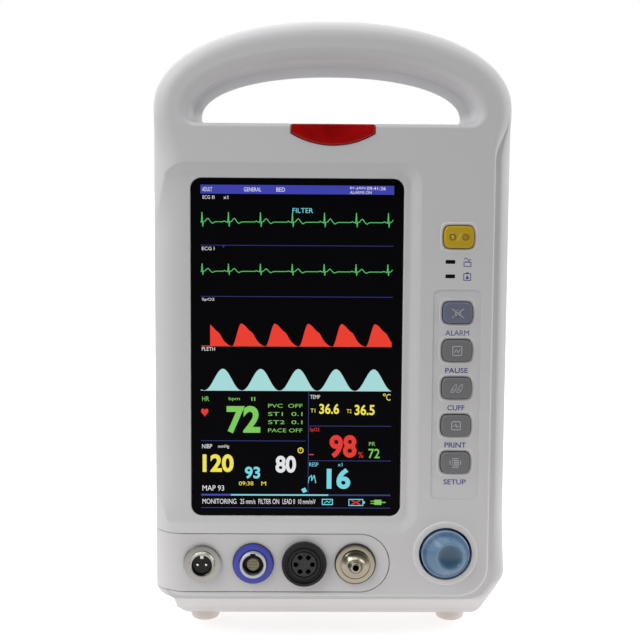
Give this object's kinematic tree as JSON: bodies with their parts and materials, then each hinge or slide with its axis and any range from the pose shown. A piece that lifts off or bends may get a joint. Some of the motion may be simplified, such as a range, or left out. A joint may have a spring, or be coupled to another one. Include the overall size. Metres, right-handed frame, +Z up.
{
  "type": "patient monitor",
  "caption": "Upright portable bedside patient monitor with a moulded carrying loop, colour display, membrane-sprung keys, rotary push knob and round lead sockets.",
  "frame": {"origin": "on the surface under the feet, midway between the flanks and midway between the front-most and rear-most points", "axes": "+Z up, +X to the right as the viewer faces the display, the display faces -Y"},
  "size_m": [0.168, 0.116, 0.2925],
  "materials": {
    "case": "fine satin moulding texture, warm white",
    "latch": "satin, light grey",
    "window": "glossy acrylic with a black printed border",
    "lcd": "satin metal back plate",
    "steel": "bright, lightly brushed",
    "board": "green solder resist",
    "nickel": "warm nickel plate",
    "black": "satin black",
    "socket_black": "satin black",
    "blue": "semi-gloss",
    "knob": "translucent blue, polished",
    "red": "translucent red lens",
    "pipe": "smoked light pipe",
    "yellow": "semi-gloss",
    "blue_grey": "satin silicone-coated",
    "grey": "satin silicone-coated",
    "ribbon": "flat cable",
    "rubber": "matte, pinkish white",
    "silicone": "matte silicone",
    "battery": "shrink-wrapped pack",
    "brass": "turned"
  },
  "bodies": {
    "case": {"front_housing": "case", "rear_housing": "case", "connector_panel": "case", "display_window": "window", "lcd_panel": "lcd", "lcd_frame": "steel", "encoder_body": "steel", "spo2_socket": "steel", "battery_door_pin": "steel", "housing_screw_1": "steel", "housing_screw_2": "steel", "housing_screw_3": "steel", "housing_screw_4": "steel", "air_pump_motor": "steel", "air_valve": "steel", "network_socket": "steel", "main_board": "board", "parameter_board": "board", "power_supply": "board", "keypad_board": "board", "alarm_board": "board", "encoder_board": "board", "temp_socket": "nickel", "cuff_fitting": "nickel", "temp_nut": "nickel", "spo2_nut": "nickel", "ecg_nut": "nickel", "cuff_nut": "nickel", "temp_insert": "black", "spo2_insert": "black", "mains_inlet": "black", "speaker": "black", "ecg_socket": "socket_black", "ecg_insert": "socket_black", "spo2_ring": "blue", "alarm_lens": "red", "mains_light_pipe": "pipe", "battery_light_pipe": "pipe", "air_pump_head": "grey", "lcd_cable": "ribbon", "keypad_cable": "ribbon", "foot_front_left": "rubber", "foot_front_right": "rubber", "foot_rear_left": "rubber", "foot_rear_right": "rubber", "keypad_membrane": "silicone", "air_tube": "silicone", "battery_pack": "battery", "earth_post": "brass"},
    "power_button": {"power_button": "yellow"},
    "silence_key": {"silence_key": "blue_grey"},
    "freeze_key": {"freeze_key": "grey"},
    "cuff_key": {"cuff_key": "grey"},
    "record_key": {"record_key": "grey"},
    "menu_key": {"menu_key": "grey"},
    "knob_carrier": {"encoder_plunger": "black"},
    "knob": {"encoder_knob": "knob", "encoder_shaft": "steel"},
    "battery_door": {"battery_door": "case"},
    "battery_latch": {"battery_latch": "latch"}
  },
  "joints": [
    {"name": "power_button_press", "type": "slide", "parent": "case", "child": "power_button", "axis": [0, 1, 0], "range_m": [0, 0.001], "stiffness_N_per_m": 1500},
    {"name": "silence_key_press", "type": "slide", "parent": "case", "child": "silence_key", "axis": [0, 1, 0], "range_m": [0, 0.001], "stiffness_N_per_m": 1500},
    {"name": "freeze_key_press", "type": "slide", "parent": "case", "child": "freeze_key", "axis": [0, 1, 0], "range_m": [0, 0.001], "stiffness_N_per_m": 1500},
    {"name": "cuff_key_press", "type": "slide", "parent": "case", "child": "cuff_key", "axis": [0, 1, 0], "range_m": [0, 0.001], "stiffness_N_per_m": 1500},
    {"name": "record_key_press", "type": "slide", "parent": "case", "child": "record_key", "axis": [0, 1, 0], "range_m": [0, 0.001], "stiffness_N_per_m": 1500},
    {"name": "menu_key_press", "type": "slide", "parent": "case", "child": "menu_key", "axis": [0, 1, 0], "range_m": [0, 0.001], "stiffness_N_per_m": 1500},
    {"name": "knob_press", "type": "slide", "parent": "case", "child": "knob_carrier", "axis": [0, 1, 0], "range_m": [0, 0.0008], "stiffness_N_per_m": 4000},
    {"name": "knob_turn", "type": "hinge", "parent": "knob_carrier", "child": "knob", "pos_m": [0.0546, -0.05, 0.0445], "axis": [0, -1, 0], "continuous": true},
    {"name": "battery_door_hinge", "type": "hinge", "parent": "case", "child": "battery_door", "pos_m": [0, 0.0554, 0.0215], "axis": [-1, 0, 0], "range_deg": [0, 95]},
    {"name": "battery_latch_slide", "type": "slide", "parent": "battery_door", "child": "battery_latch", "axis": [0, 0, -1], "range_m": [0, 0.003], "stiffness_N_per_m": 400}
  ]
}
